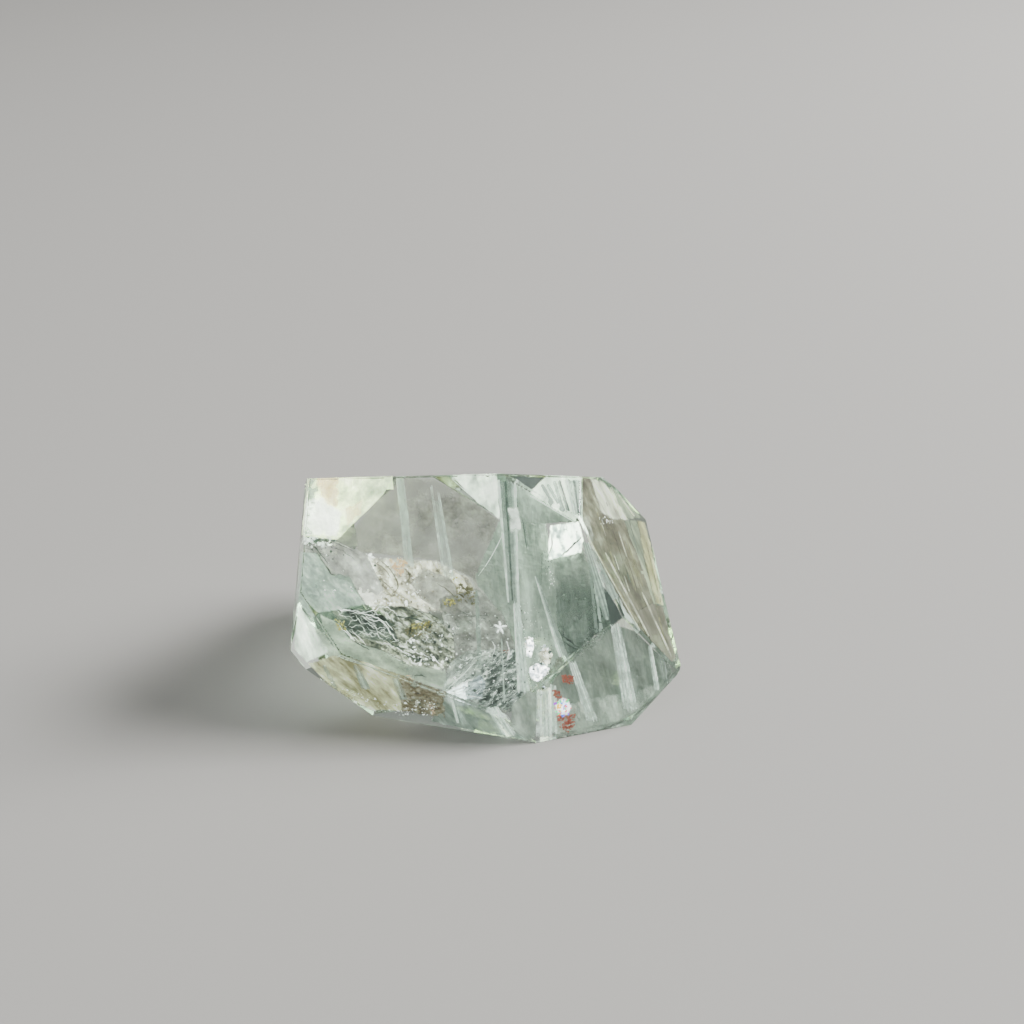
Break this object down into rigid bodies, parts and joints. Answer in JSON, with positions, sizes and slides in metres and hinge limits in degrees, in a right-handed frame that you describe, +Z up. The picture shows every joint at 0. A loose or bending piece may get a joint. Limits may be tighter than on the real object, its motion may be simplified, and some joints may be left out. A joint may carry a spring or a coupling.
{
  "type": "quartz specimen",
  "caption": "Clear pale green quartz free-form, cut and polished into flat facets, with tube and veil inclusions, resting on a small flat facet.",
  "frame": {"origin": "under the middle of the stone's box, on the flat facet that it rests on", "axes": "+Z up, +X along the stone's longest side, -Y out of its large front facet"},
  "size_m": [0.0346, 0.0232, 0.0222],
  "materials": {
    "quartz": "polished, see-through, faint grey-green tint"
  },
  "bodies": {
    "root": {"quartz_specimen": "quartz"}
  },
  "joints": []
}
